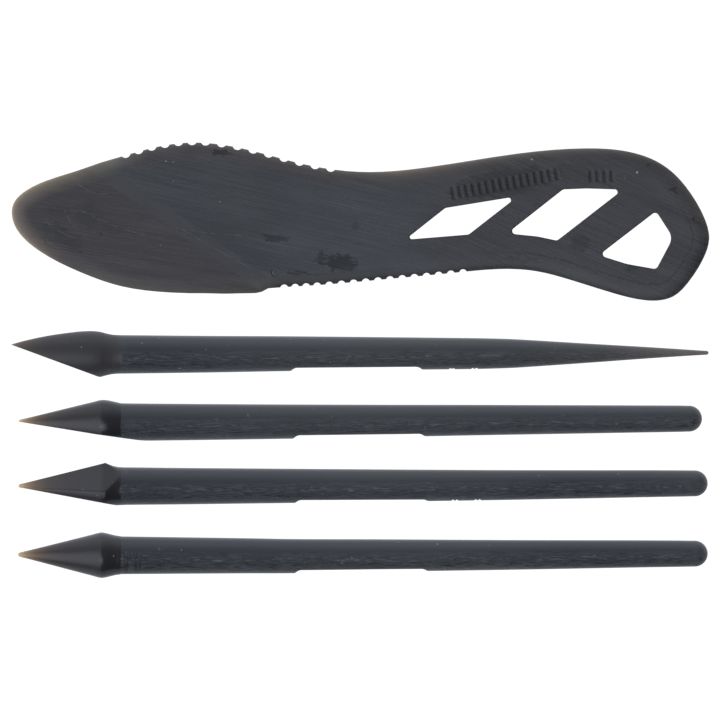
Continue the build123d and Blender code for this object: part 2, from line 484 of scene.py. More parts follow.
def make_paddle(material):
    """The paddle: two copies of its plan, a thickness apart and joined along the borders."""
    points, faces = paddle_plan()
    half, edge, hole, past = paddle_half(points)
    count = len(points)
    depth, sunk = relief(points)
    top = np.column_stack([points, HALF + half - depth])
    bottom = np.column_stack([points, HALF - half])
    all_faces = [tuple(f) for f in faces.tolist()]
    all_faces += [(a + count, c + count, b + count) for a, b, c in faces.tolist()]
    sides = {(t[i], t[i - 2]) for t in faces.tolist() for i in range(3)}
    for a, b in sides:
        if (b, a) not in sides:
            all_faces.append((a, a + count, b + count, b))
    thin_glow, pale_glow = border_glow(points, edge)
    return make_piece(
        "paddle_body", np.vstack([top, bottom]) * MM, all_faces, PADDLE, material,
        {
            "thin_glow": np.tile(thin_glow, 2), "pale_glow": np.tile(pale_glow, 2), "edge": np.tile(edge, 2),
            "hole": np.tile(hole, 2), "past": np.tile(past, 2),
            "sunk": np.concatenate([sunk, 0 * sunk]),
        },
    )


# ---- pen shapes
SHAFT_END = (176.0, 3.49)
BUTT = 3.43
# Run-out of a finger flat: distance beyond its end, and how far the cut has risen there.
RAMP = [(0.0, 0.0), (0.5, 0.07), (1.1, 0.35), (1.7, 0.9), (2.2, 2.2)]
RAMP_CLEAR = 9.0  # beyond a flat by this much, its cut is well outside the shaft
OUTSIDE = -20  # a level that cuts nothing
NICK_DEPTH, NICK_FLOOR, NICK_MOUTH, NICK_CLEAR = 0.26, 0.12, 0.35, 0.4
ROUNDING, LEAST_ROUNDING, MOST_ROUNDING = 0.28, 0.02, 0.3
LEAST_LEFT, LEAST_REACH, NO_LIMIT = 0.02, 0.01, 1e3
BUTT_TIP = 0.03  # radius of the last ring of a domed butt
AROUND = 180
# Lengths are millimetres from where each pen's tip would be sharp. For each pen:
#   radius  radius of the round body at places along it; butt is where a domed end closes it
#   cuts    planes cut away: their turn about the axis, then their level at places along the pen
#   flat    finger flat: first and last place, and its level at each
#   nicks   small notches in the near side
#   thin_glow, butt_glow   strength of the painted brown light that shows through the tip and the other end
#   collar, turned, dull   strength of the collar's painted shade and polish, the turning marks, and the head's dullness
#   light   how much paler the surface is at places along the pen
#   slant, droop     turn of the whole pen in plan and in side view, in degrees
#   wander  how far its axis bows sideways at places along it
PENS = {
    "leaf_needle_pen": {
        "radius": [
            (0, 2.64), (0.05, 2.66), (4.8, 3.95), (10.1, 5.02), (15.4, 5.77), (19.0, 6.12),
            (21.0, 6.18), (23.0, 6.03), (25.2, 5.5), (27.0, 5.17), (28.5, 5.1), (75.0, 4.59),
            (121.0, 4.11), (130.0, 3.9), (138.0, 3.47), (183.4, 0.5),
            (183.75, 0.3), (183.85, 0.05),
        ],
        "cuts": [(0, [(-1, 2.93), (23.1, -5.98), (26, -7.1)])],
        "flat": (75.3, 106.7, 3.76, 3.52),
        "nicks": (115.7, 116.5, 121.6, 122.6),
        "thin_glow": 0.24, "collar": 0.0, "turned": 0.0, "dull": 0.2,
        "light": [
            (0, 0), (20, 0), (25, 0.2), (29, 0.25), (31, 0), (38, 0), (60, 0.3), (90, 0.5),
            (131, 0.35), (157, 0.6), (168, 1.45), (176, 2.2), (184, 2.7),
        ],
        "butt_glow": 0.11, "slant": 0.16, "droop": 1.17,
        "wander": [
            (0, 0), (31, -0.045), (50, -0.06), (74, 0.02), (98, -0.02), (131, -0.1), (150, -0.08),
            (169, 0), (184, -0.05),
        ],
    },
    "chisel_pen": {
        "radius": [
            (1.9, 0.05), (1.93, 0.4), (2.05, 0.66), (2.3, 0.81), (23.7, 5.8), (24.3, 5.84),
            (28.8, 5.04), (29.1, 4.98), (30.0, 4.97),
        ],
        "butt": 182.1,
        "cuts": [(0, [(-1, 0.79), (22.4, -3.27), (45, -6.36)])],
        "flat": (76.0, 107.4, 3.64, 3.5),
        "thin_glow": 0.95, "collar": 1.0, "turned": 0.4,
        "light": [(24, 0), (34, 0.1), (60, 0.3), (90, 0.45), (150, 0.3), (178, 0.3), (182, 0.6)],
        "slant": 0.37, "droop": 0.94,
        "wander": [
            (0, 0), (22, 0.1), (31, 0), (55, -0.1), (74, -0.13), (98, -0.12), (121, -0.06),
            (150, -0.04), (184, -0.03),
        ],
    },
    "pyramid_pen": {
        "radius": [
            (1.9, 0.05), (1.93, 0.36), (2.05, 0.6), (2.3, 0.76), (24.3, 6.13), (24.65, 6.2),
            (25.1, 6.03), (27.1, 5.3), (28.6, 5.04), (30.0, 4.97),
        ],
        "butt": 183.6,
        "cuts": [
            (0, [(-1, 0.36), (27.15, -5.0), (40, -7.45)]),
            (128, [(-1, 0.04), (24.3, -3.79), (28.1, -5.15), (31, -7)]),
            (-128, [(-1, 0.04), (24.3, -3.79), (28.1, -5.15), (31, -7)]),
        ],
        "flat": (76.4, 108.5, 3.75, 3.75),
        "nicks": (116.4, 117.4, 122.4, 123.4),
        "thin_glow": 0.95, "collar": 0.9, "turned": 0.4,
        "light": [
            (24, 0), (34, 0), (60, 0.1), (90, 0.35), (120, 0.3), (146, 0), (165, 0.1), (183, 0.5),
        ],
        "slant": 0.26, "droop": 0.95,
        "wander": [
            (0, 0.12), (31, 0.106), (45, 0.03), (64, -0.01), (80, -0.05), (121, -0.08),
            (150, 0.014), (169, 0.115), (184, 0.14),
        ],
    },
    "cone_pen": {
        "radius": [
            (1.8, 0.05), (1.83, 0.26), (1.95, 0.42), (2.2, 0.54), (23.3, 5.96), (23.7, 6.02),
            (24.1, 6.0), (24.9, 5.87), (25.7, 5.68), (27.4, 5.26), (28.7, 5.06), (29.0, 4.985),
            (30.0, 4.97),
        ],
        "butt": 183.6,
        "cuts": [],
        "flat": (76.4, 108.2, 3.7, 3.6),
        "thin_glow": 0.95, "collar": 0.9, "turned": 1.0,
        "light": [(24, 0), (60, 0.05), (90, 0.25), (120, 0.3), (146, 0), (179, 0.2), (183, 0.5)],
        "slant": 0.1, "droop": 0.94,
        "wander": [
            (0, 0.32), (10, 0.215), (23, 0.105), (31, 0.06), (50, -0.05), (62, -0.13), (74, -0.24),
            (84, -0.2), (97, -0.12), (112, -0.085), (131, -0.035), (150, 0.076), (169, 0.19),
            (184, 0.22),
        ],
    },
}


def with_straight_runs(points, longest=9.5, spacing=2.0):
    """Points with more added along every gap that is long enough to be a straight run."""
    out = [points[0]]
    for (x0, y0), (x1, y1) in zip(points[:-1], points[1:]):
        count = int((x1 - x0) / spacing) if x1 - x0 > longest else 1
        for share in np.arange(1, count + 1) / count:
            out.append((x0 + share * (x1 - x0), y0 + share * (y1 - y0)))
    return out


HEAD_END = 32.0
TIP_LENGTH, BUTT_LENGTH = 0.5, 6.0
HEAD_STEP, SHAFT_STEP, NICK_STEP = 0.2, 1.2, 0.1
RAMP_SPANS, NICK_SPAN = ((72.8, 77.2), (106.0, 111.6)), (115.0, 124.0)


def pen_stations(start, end):
    """Places along a pen: crowded at its two ends, fine in the head, wider along the shaft."""
    tip = start + TIP_LENGTH * (1 - np.cos(np.linspace(0, np.pi / 2, 9)))
    head = np.arange(start + TIP_LENGTH + 0.1, HEAD_END, HEAD_STEP)
    shaft = np.arange(HEAD_END, end - BUTT_LENGTH, SHAFT_STEP)
    butt = end - BUTT_LENGTH * (1 - np.sin(np.linspace(0, np.pi / 2, 34)))
    ramps = [np.arange(first, last, HEAD_STEP) for first, last in RAMP_SPANS]
    at = np.sort(np.concatenate([tip, head, shaft, butt, np.arange(*NICK_SPAN, NICK_STEP)] + ramps))
    return at[np.concatenate([[True], np.diff(at) > 1e-4])]


def flat_cut(flat):
    """Level of the plane that cuts a finger flat, with a run-out at each end."""
    first, last, level_first, level_last = flat
    cut = [(first - RAMP_CLEAR, OUTSIDE)]
    cut += [(first - away, -level_first - drop) for away, drop in RAMP[::-1]]
    cut += [(last + away, -level_last - drop) for away, drop in RAMP]
    return cut + [(last + RAMP_CLEAR, OUTSIDE)]


def nick_cut(place, surface):
    """Level of the plane that cuts a small notch where the surface is that far out."""
    floor = NICK_DEPTH - surface
    return [
        (place - NICK_CLEAR, OUTSIDE), (place - NICK_MOUTH, -surface),
        (place - NICK_FLOOR, floor), (place + NICK_FLOOR, floor),
        (place + NICK_MOUTH, -surface), (place + NICK_CLEAR, OUTSIDE),
    ]


def cut_level(cut, at):
    """Level of a cut at places along a pen. Past the cut's last place it cuts nothing."""
    x, y = np.array(cut, float).T
    return np.where(at <= x[-1], np.interp(at, x, y), OUTSIDE)


def pen_profile(pen):
    """Places along a pen, and the radius of its round body at each."""
    profile = list(pen["radius"])
    start = profile[0][0]
    end = pen.get("butt", profile[-1][0])
    if "butt" in pen:
        profile += [SHAFT_END, (end - BUTT, BUTT), (end, BUTT)]
    at = pen_stations(start, end)
    radius = curve_through(with_straight_runs(profile), at)
    if "butt" in pen:
        inward = np.clip(at - (end - BUTT), 0, BUTT)
        radius = np.where(inward > 0, np.sqrt(BUTT**2 - inward**2), radius)
        radius[-1] = BUTT_TIP
    return at, radius


def pen_points(pen):
    """Rings of points in the pen's own millimetres, from the tip end to the butt."""
    at, radius = pen_profile(pen)
    cuts = [(0, flat_cut(pen["flat"]))] + pen["cuts"]
    for nick in pen.get("nicks", ()):
        cuts.append((0, nick_cut(nick, float(np.interp(nick, at, radius)))))
    lowest = -radius
    for turn, cut in pen["cuts"]:
        if turn == 0:
            lowest = np.maximum(lowest, cut_level(cut, at))
    # Each ring is swept from the middle of what the head's level cuts leave.
    middle = (np.minimum(lowest, radius - LEAST_LEFT) + radius) / 2
    theta = np.linspace(0, 2 * np.pi, AROUND, endpoint=False)
    uy, uz = np.cos(theta)[None, :], np.sin(theta)[None, :]
    c, r = middle[:, None], radius[:, None]
    reach = -c * uy + np.sqrt(np.maximum((c * uy) ** 2 + r**2 - c**2, 0))
    for turn, cut in cuts:
        # The block lies beyond -level along a direction turned from -Y towards +Z.
        ny, nz = -math.cos(math.radians(turn)), math.sin(math.radians(turn))
        facing = ny * uy + nz * uz
        room = -cut_level(cut, at)[:, None] - ny * c
        gap = np.where(facing > 1e-6, room / np.maximum(facing, 1e-6), NO_LIMIT)
        gap = np.maximum(gap, LEAST_REACH)
        reach = smooth_min(reach, gap, np.clip(ROUNDING * r, LEAST_ROUNDING, MOST_ROUNDING))
    x = np.repeat(at[:, None], AROUND, 1)
    return np.stack([x, c + reach * uy, reach * uz], axis=2)


def tube_faces(rows):
    """Quads between the rings of a tube, and a fan of triangles over each end."""
    faces = []
    following = [(j, (j + 1) % AROUND) for j in range(AROUND)]
    for i in range(rows - 1):
        a, b = i * AROUND, (i + 1) * AROUND
        faces += [(a + j, a + k, b + k, b + j) for j, k in following]
    tip, butt, last = rows * AROUND, rows * AROUND + 1, (rows - 1) * AROUND
    for j, k in following:
        faces += [(tip, k, j), (butt, last + j, last + k)]
    return faces


TIP_GLOW_LENGTH, BUTT_GLOW_LENGTH = 2.75, 16
COLLAR_MIDDLE, COLLAR_HALF, COLLAR_EDGE = 26.3, 2.62, 0.3
DULL_END, DULL_BLEND = 30, 3
GRAIN_SHIFT = 211.0  # every pen takes its grain from its own stretch of the noise


def make_pen(node, material):
    """One pen, bowed and tilted as it lies, and set into its CAD node's box."""
    pen = PENS[node]
    rings = pen_points(pen)
    local = np.vstack([rings.reshape(-1, 3), rings[0].mean(0), rings[-1].mean(0)])
    along = local[:, 0]
    bowed = local.copy()
    bowed[:, 1] += curve_through(pen["wander"], along)
    turn = (
        Matrix.Rotation(math.radians(pen["slant"]), 3, "Z")
        @ Matrix.Rotation(math.radians(pen["droop"]), 3, "Y")
    )
    placed = bowed @ np.array(turn).T
    straight = (local @ np.array(turn).T)[:, 1]
    low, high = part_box(node)
    lowest, highest = placed.min(0), placed.max(0)
    shift = (np.array(low) + np.array(high)) / 2 / MM - (lowest + highest) / 2
    shift[1] = (low.y + high.y) / 2 / MM - (straight.min() + straight.max()) / 2
    shift[2] = low.z / MM - lowest[2]
    # Painted brown light through the thin tip and butt, fading along the pen.
    thin_glow = pen["thin_glow"] * np.exp(-(along - along.min()) / TIP_GLOW_LENGTH)
    thin_glow += pen.get("butt_glow", 0.0) * np.exp((along - along.max()) / BUTT_GLOW_LENGTH)
    in_collar = (COLLAR_HALF - abs(along - COLLAR_MIDDLE)) / COLLAR_EDGE + 0.5
    return make_piece(
        node.replace("_pen", "_body"), (placed + shift) * MM, tube_faces(len(rings)), node,
        material,
        {
            "along": along, "side": local[:, 1], "rise": local[:, 2], "thin_glow": thin_glow,
            "collar": pen["collar"] * ease(in_collar),
            "turned": np.full(len(local), pen["turned"]),
            "dull": pen.get("dull", 0.0) * ease((DULL_END - along) / DULL_BLEND),
            "light": np.interp(along, *zip(*pen["light"])),
            "shift": np.full(len(local), GRAIN_SHIFT * list(PENS).index(node)),
        },
    )


# ---- shader helpers
class Graph:
    """Small builder for a node tree: every call adds one node and gives back its output."""

    def __init__(self, tree):
        self.tree = tree
        tree.nodes.clear()

    def node(self, kind, inputs=(), **settings):
        made = self.tree.nodes.new("ShaderNode" + kind)
        for key, value in settings.items():
            setattr(made, key, value)
        for key, value in dict(inputs).items():
            if isinstance(value, bpy.types.NodeSocket):
                self.tree.links.new(value, made.inputs[key])
            elif value is not None:
                made.inputs[key].default_value = value
        return made

    def math(self, operation, a, b=None):
        return self.node("Math", {0: a, 1: b}, operation=operation).outputs[0]

    def attribute(self, name):
        return self.node("Attribute", attribute_name=name).outputs["Fac"]

    def vector(self, x, y, z=0.0):
        return self.node("CombineXYZ", {0: x, 1: y, 2: z}).outputs[0]

    def step(self, value, start, end, low=0.0, high=1.0, kind="SMOOTHSTEP"):
        """Value mapped from start..end to low..high, held at both ends."""
        inputs = {"Value": value, "From Min": start, "From Max": end, "To Min": low, "To Max": high}
        return self.node("MapRange", inputs, interpolation_type=kind).outputs[0]

    def noise(self, vector, scale=1.0, detail=2.0, roughness=0.5):
        inputs = {"Vector": vector, "Scale": scale, "Detail": detail, "Roughness": roughness}
        return self.node("TexNoise", inputs).outputs[0]

    def mix(self, factor, a, b):
        made = self.node("Mix", data_type="RGBA")
        for index, value in ((0, factor), (6, a), (7, b)):
            if isinstance(value, bpy.types.NodeSocket):
                self.tree.links.new(value, made.inputs[index])
            else:
                solid = isinstance(value, tuple)
                made.inputs[index].default_value = (*value, 1.0) if solid else value
        return made.outputs[2]

    def over(self, base, color, *factors):
        """A colour laid over another as strongly as the product of the factors."""
        return self.mix(self.product(*factors), base, color)

    def minus(self, a, b):
        return self.math("SUBTRACT", a, b)

    def total(self, *values):
        out = values[0]
        for value in values[1:]:
            out = self.math("ADD", out, value)
        return out

    def product(self, *values):
        out = values[0]
        for value in values[1:]:
            out = self.math("MULTIPLY", out, value)
        return out


NYLON_IOR = 1.5


def new_material(name):
    """Empty material and the graph that fills it."""
    material = bpy.data.materials.new(name)
    material.use_nodes = True
    return material, Graph(material.node_tree)


def finish_material(graph, color, roughness, height, strength, distance):
    """Nylon with the given colour and roughness, and a bump from the given height."""
    bump = graph.node("Bump", {"Strength": strength, "Distance": distance, "Height": height})
    inputs = {"Base Color": color, "Roughness": roughness, "IOR": NYLON_IOR}
    shader = graph.node("BsdfPrincipled", {**inputs, "Normal": bump.outputs[0]})
    graph.node("OutputMaterial", {"Surface": shader.outputs[0]})


def dust(g, place, size, share, low=0.1):
    """Small bright specks scattered over a surface, as a factor."""
    cells = g.node("TexVoronoi", {"Vector": place, "Scale": 1.0 / size})
    colour = g.node("SeparateColor", {0: cells.outputs["Color"]})
    chosen = g.step(colour.outputs[0], 1 - share, 1 - share + 0.01)
    spread = g.step(colour.outputs[1], 0.0, 1.0, low, 2.2 * low)
    near = g.math("LESS_THAN", cells.outputs["Distance"], spread)
    return g.product(chosen, near, g.step(colour.outputs[2], 0.0, 1.0, 0.25, 1.0))


def hairs(g, place):
    """A few short curled fibres that cling to a surface, as a factor."""
    bent = g.node("TexNoise", {"Vector": place, "Scale": 0.9, "Detail": 1.0})
    curl = g.node("VectorMath", {0: bent.outputs["Color"], "Scale": 2.4}, operation="SCALE")
    moved = g.node("VectorMath", {0: place, 1: curl.outputs[0]}, operation="ADD")
    cells = g.node(
        "TexVoronoi", {"Vector": moved.outputs[0], "Scale": 0.45},
        feature="DISTANCE_TO_EDGE",
    )
    chosen = g.step(g.noise(place, 0.33, 1.0, 0.5), 0.72, 0.75)
    return g.product(g.step(cells.outputs["Distance"], 0.05, 0.015), chosen, 0.55)


def rotated(g, x, y, degrees):
    """Places along and across a direction in the plane."""
    c, s = math.cos(math.radians(degrees)), math.sin(math.radians(degrees))
    along = g.total(g.product(x, c), g.product(y, s))
    across = g.total(g.product(x, -s), g.product(y, c))
    return along, across


def brushed(g, x, y, degrees, offset=0.0):
    """Long scuff marks one way: fine lines over wider bands, between about 0 and 1."""
    along, across = rotated(g, x, y, degrees)
    fine = g.noise(g.vector(g.product(along, 0.04), g.product(across, 2.6), offset), 1.0, 5, 0.72)
    wide = g.noise(g.vector(g.product(along, 0.02), g.product(across, 0.4), offset), 1.0, 2, 0.5)
    return g.step(g.total(g.product(fine, 0.75), g.product(wide, 0.25)), 0.37, 0.63)


def blot(g, x, y, place, size, degrees=0.0):
    """Soft oval patch, 1 in its middle."""
    dx = g.minus(x, place[0])
    dy = g.minus(y, place[1])
    along, across = rotated(g, dx, dy, degrees)
    u, v = g.product(along, 1.0 / size[0]), g.product(across, 1.0 / size[1])
    return g.step(g.total(g.product(u, u), g.product(v, v)), 1.0, 0.0)


def scratch(g, x, y, arc):
    """Hair line along an arc: its centre, radius, and the span of x that it crosses."""
    middle, radius, first, last = arc
    dx, dy = g.minus(x, middle[0]), g.minus(y, middle[1])
    away = g.math("SQRT", g.total(g.product(dx, dx), g.product(dy, dy)))
    off = g.math("ABSOLUTE", g.minus(away, radius))
    return g.product(
        g.step(off, 0.16, 0.04), g.step(x, first, first + 1.5), g.step(x, last, last - 1.5),
        g.math("LESS_THAN", dy, 0.0),
    )


# ---- paddle material
# Dark stains on the paddle: middle and half sizes in its own millimetres, heading, and strength.
STAINS = [
    ((55.2, 15.8), (3.6, 1.1), -4, 0.9), ((69.2, -6.7), (5.0, 1.0), -8, 0.8),
    ((86.5, -13.2), (6.0, 3.0), -13, 1.0), ((81.6, -12.0), (1.6, 3.0), 0, 0.8),
    ((77.5, -15.9), (7.5, 0.6), -4, 0.8), ((90.8, -3.2), (1.6, 1.6), 0, 0.5),
    ((9.2, -7.6), (3.0, 0.55), -48, 0.9), ((20.5, -0.5), (5.0, 5.0), 0, 0.45),
    ((12.0, 0.5), (5.0, 1.2), -9, 0.5), ((11.5, -4.5), (4.5, 2.0), -20, 0.45),
    ((27.0, -4.0), (5.0, 2.2), -12, 0.35), ((47.0, -5.0), (4.0, 1.6), -12, 0.3),
    ((14.5, -7.0), (6.5, 3.0), -28, 0.5),
    ((130.0, 8.0), (19.0, 4.6), 10, 0.75), ((150.0, 10.5), (11.0, 3.6), 0, 0.3),
    ((150.0, -8.0), (3.6, 3.0), 20, 0.5), ((166.0, -13.0), (7.0, 1.6), 28, 0.6),
    ((134.0, -12.5), (9.0, 0.8), -3, 0.4),
]
# Small dark nicks: middle, half sizes and heading.
MARKS = [
    ((167.9, 12.6), (0.6, 0.5), 0), ((174.3, 6.2), (1.5, 0.55), 20),
    ((175.0, 5.5), (1.1, 0.5), -50), ((179.8, -1.6), (0.6, 0.5), 0),
    ((18.2, -10.4), (0.6, 0.5), 0), ((23.5, -5.6), (0.5, 0.5), 0),
]
# Arcs: centre, radius, and the places along the paddle between which each shows.
SCRATCHES = [
    ((31.5, 8.0), 19.0, 13.0, 17.5), ((26.0, 18.0), 26.5, 8.0, 19.0),
    ((52.0, 62.0), 70.0, 17.0, 42.0), ((24.0, 14.0), 9.0, 15.5, 26.0),
    ((63.0, 90.0), 96.0, 42.0, 62.0), ((202.1, 251.2), 300.0, 44.0, 64.0),
]
# Darkest and palest tone of the scuffed nylon in each region of the paddle.
BLADE = (0.021, 0.024, 0.028), (0.051, 0.053, 0.058)
HANDLE = (0.022, 0.021, 0.024), (0.051, 0.048, 0.051)
MIDDLE = (0.034, 0.041, 0.047), (0.058, 0.065, 0.073)
TOP_BORDER = (0.047, 0.038, 0.040), (0.076, 0.061, 0.064)
NOSE_FACET = (0.011, 0.006, 0.010), (0.047, 0.037, 0.040)
BAND = (0.020, 0.018, 0.021), (0.060, 0.058, 0.061)
SHADE, CLOUD, GRAIN_DARK_AND_SHADE = (0.014, 0.018, 0.024), (0.014, 0.014, 0.017), (0.008, 0.008, 0.010)
STAIN, NICK, HAIR_LINE = (0.001, 0.002, 0.003), (0.003, 0.003, 0.003), (0.13, 0.12, 0.12)
LOWER_BORDER, SLOT_SHADE, BEVEL_SHADE = (0.020, 0.016, 0.018), (0.005, 0.006, 0.007), (0.006, 0.006, 0.008)
PIN_RIM, PIN_LIGHT = (0.008, 0.009, 0.011), (0.16, 0.17, 0.18)
# Colours of the painted light that shows through the thin edges.
PALE_EDGE_GLOW, BROWN_EDGE_GLOW = (0.155, 0.150, 0.112), (0.50, 0.385, 0.27)
BLADE_SCUFFS, HANDLE_SCUFFS, NOSE_SCUFFS = -13, -24, -9  # their headings in degrees


def paddle_material():
    """Black nylon, scuffed one way in each region, with stains, scratches and brown thin edges."""
    material, g = new_material("paddle nylon")
    spot = g.node("TexCoord").outputs["Object"]
    at = g.node("VectorMath", {0: spot, "Scale": 1000.0}, operation="SCALE").outputs[0]
    parts = g.node("SeparateXYZ", {0: at})
    x = g.minus(parts.outputs[0], float(NOSE[0]))
    y = g.minus(parts.outputs[1], float(NOSE[1]))
    edge, past, hole = g.attribute("edge"), g.attribute("past"), g.attribute("hole")
    nose = g.step(past, 3.4, 4.0)
    band = g.product(g.step(past, -0.3, 0.2), g.step(past, 4.0, 3.4))
    handle = g.step(x, 92.0, 128.0)

    scuffs = g.mix(handle, brushed(g, x, y, BLADE_SCUFFS), brushed(g, x, y, HANDLE_SCUFFS, 7.0))
    scuffs = g.mix(nose, scuffs, brushed(g, x, y, NOSE_SCUFFS, 3.0))
    scuffs = g.node("SeparateColor", {0: scuffs}).outputs[0]
    calm = g.minus(1.0, g.product(band, 0.6))
    scuffs = g.math("ADD", g.product(g.minus(scuffs, 0.5), calm), 0.5)
    cloud = g.noise(g.vector(g.product(x, 0.05), g.product(y, 0.12)), 1.0, 3, 0.55)
    grain = g.noise(at, 2.6, 3, 0.7)

    base = g.mix(handle, g.mix(scuffs, *BLADE), g.mix(scuffs, *HANDLE))
    middle = g.product(g.step(x, 62.0, 80.0), g.step(x, 118.0, 100.0), g.step(y, 11.0, 3.0), 0.5)
    base = g.over(base, g.mix(scuffs, *MIDDLE), middle)
    warm = g.product(
        g.step(edge, 6.0, 2.0), g.step(y, 0.0, 8.0), g.step(x, 26.0, 34.0),
        g.step(x, 130.0, 104.0), 0.6,
    )
    base = g.over(base, g.mix(scuffs, *TOP_BORDER), warm)
    # The blade darkens towards the pale band that runs across it.
    shade = g.product(
        g.step(past, -9.0, -1.5), g.step(past, 0.2, -0.4), g.step(y, 6.0, -2.0),
        g.step(y, -17.0, -12.0), 0.55,
    )
    base = g.over(base, SHADE, shade)
    base = g.over(base, g.mix(scuffs, *NOSE_FACET), nose)
    base = g.over(base, g.mix(grain, *BAND), band, 0.6)
    base = g.over(base, CLOUD, g.step(cloud, 0.4, 0.7, 0.0, 0.35))
    # Random dark grain; the same colour serves below as painted shade round the windows.
    base = g.over(base, GRAIN_DARK_AND_SHADE, g.step(grain, 0.35, 0.65, 0.0, 0.22))

    # Stains have ragged ends that follow the scuffs.
    drift, rise = rotated(g, x, y, BLADE_SCUFFS)
    streaks = g.noise(g.vector(g.product(drift, 0.4), g.product(rise, 1.6)), 1.0, 5, 0.75)
    ragged = g.product(g.minus(streaks, 0.5), 3.6)
    wobble = g.product(g.minus(g.noise(at, 0.5, 3, 0.6), 0.5), 4.0)
    for place, size, heading, strength in STAINS:
        stain = blot(g, g.math("ADD", x, wobble), g.math("ADD", y, wobble), place, size, heading)
        stain = g.step(g.math("ADD", stain, g.product(ragged, g.step(stain, 0.0, 0.3))), 0.15, 0.85)
        base = g.over(base, STAIN, stain, strength)
    # Brownish strip along the lower serrations, and painted shade on the floors of the slots.
    lower = g.product(g.step(edge, 3.4, 2.6), g.step(x, 66.0, 69.0), g.step(y, -5.0, -10.0))
    base = g.over(base, LOWER_BORDER, lower, g.step(x, 112.0, 96.0), 0.6)
    base = g.over(base, SLOT_SHADE, g.attribute("sunk"), 0.6)
    # Broken dark line of painted shade where the handle's rounded border meets its flat, stronger
    # on the lower side.
    bevel_shade = g.product(
        g.step(edge, 3.9, 4.2), g.step(edge, 4.8, 4.4), g.step(x, 118.0, 140.0),
        g.step(grain, 0.4, 0.55),
    )
    base = g.over(base, BEVEL_SHADE, bevel_shade, g.step(y, 6.0, -4.0, 0.2, 0.75))
    for place, size, heading in MARKS:
        mark = g.step(blot(g, x, y, place, size, heading), 0.1, 0.5)
        base = g.over(base, NICK, mark, 0.85)
    # The pin mark's rim, with painted light on its left side, and painted shade on the edges round
    # the windows.
    from_pin = g.node(
        "VectorMath", {0: g.vector(x, y), 1: (*PIN_MARK, 0.0)}, operation="DISTANCE"
    ).outputs["Value"]
    rim = g.product(g.step(from_pin, 0.65, 0.85), g.step(from_pin, 1.15, 0.95))
    base = g.over(base, PIN_RIM, rim, 0.65)
    lit = g.product(g.step(from_pin, 0.35, 0.5), g.step(from_pin, 0.75, 0.6), g.step(x, 69.3, 68.9))
    base = g.over(base, PIN_LIGHT, lit, 0.5)
    base = g.over(base, GRAIN_DARK_AND_SHADE, g.step(hole, 0.4, 0.1), 0.4)
    broken = g.step(g.noise(at, 0.9, 2, 0.5), 0.42, 0.56)
    for arc in SCRATCHES:
        base = g.over(base, HAIR_LINE, scratch(g, x, y, arc), broken, 0.4)
    # Painted light glowing through the thin edges: neutral below, brown at the nose and the top.
    base = g.over(base, PALE_EDGE_GLOW, g.attribute("pale_glow"))
    base = g.over(base, BROWN_EDGE_GLOW, g.attribute("thin_glow"))
    specks = g.math("MAXIMUM", dust(g, at, 4.6, 0.3, 0.03), dust(g, at, 1.7, 0.03, 0.06))
    base = g.over(base, (0.32, 0.32, 0.32), specks)

    rough = g.total(0.34, g.product(scuffs, 0.10), g.product(band, 0.10))
    height = g.total(g.product(scuffs, 0.7), g.product(grain, 0.3))
    finish_material(g, base, rough, height, strength=0.6, distance=0.00006)
    return material


# ---- pen material
# Darkest and palest tone of the heads and of the shafts, then the colours laid over them.
HEAD = (0.011, 0.009, 0.011), (0.036, 0.032, 0.036)
SHAFT = (0.001, 0.004, 0.008), (0.048, 0.053, 0.061)
PATCH, LIT = (0.004, 0.006, 0.009), (0.119, 0.116, 0.113)
TURNED, COLLAR_SHADE = (0.001, 0.002, 0.003), (0.001, 0.001, 0.002)
NEAR_GLOW, TIP_GLOW = (0.62, 0.36, 0.16), (0.74, 0.51, 0.29)


